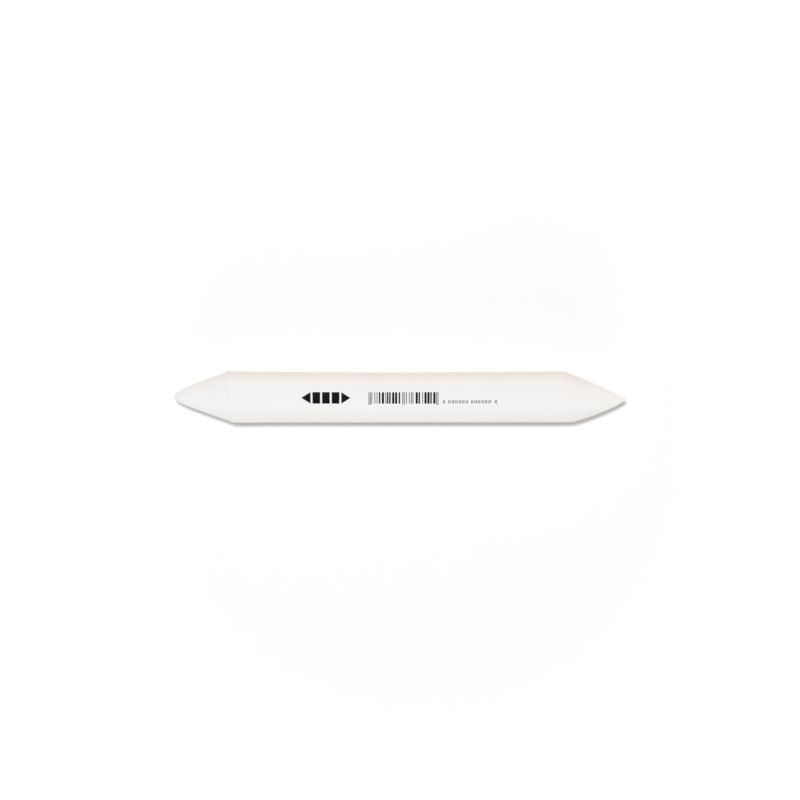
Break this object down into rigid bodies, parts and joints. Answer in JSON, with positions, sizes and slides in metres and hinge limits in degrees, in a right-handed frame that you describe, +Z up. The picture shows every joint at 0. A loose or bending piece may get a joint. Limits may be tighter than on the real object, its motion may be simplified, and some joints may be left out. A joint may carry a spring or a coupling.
{
  "type": "blending stump",
  "caption": "Double-ended paper blending stump: a round barrel of rolled paper under a lapped cover sheet, sanded to a blunt point at each end.",
  "frame": {"origin": "on the surface that the stump lies on, under the middle of its length and below the barrel's axis", "axes": "+X along the barrel from the blunter point to the sharper one, +Z up, with the printed side of the cover facing +Z and reading along +X"},
  "size_m": [0.15, 0.017, 0.0169],
  "materials": {
    "soft_paper": "matte",
    "cover_paper": "matte",
    "dried_paste": "satin"
  },
  "bodies": {
    "root": {"core_quill": "soft_paper", "first_wound_sheet": "soft_paper", "second_wound_sheet": "soft_paper", "third_wound_sheet": "soft_paper", "cover_sheet": "cover_paper", "lap_paste": "dried_paste"}
  },
  "joints": []
}
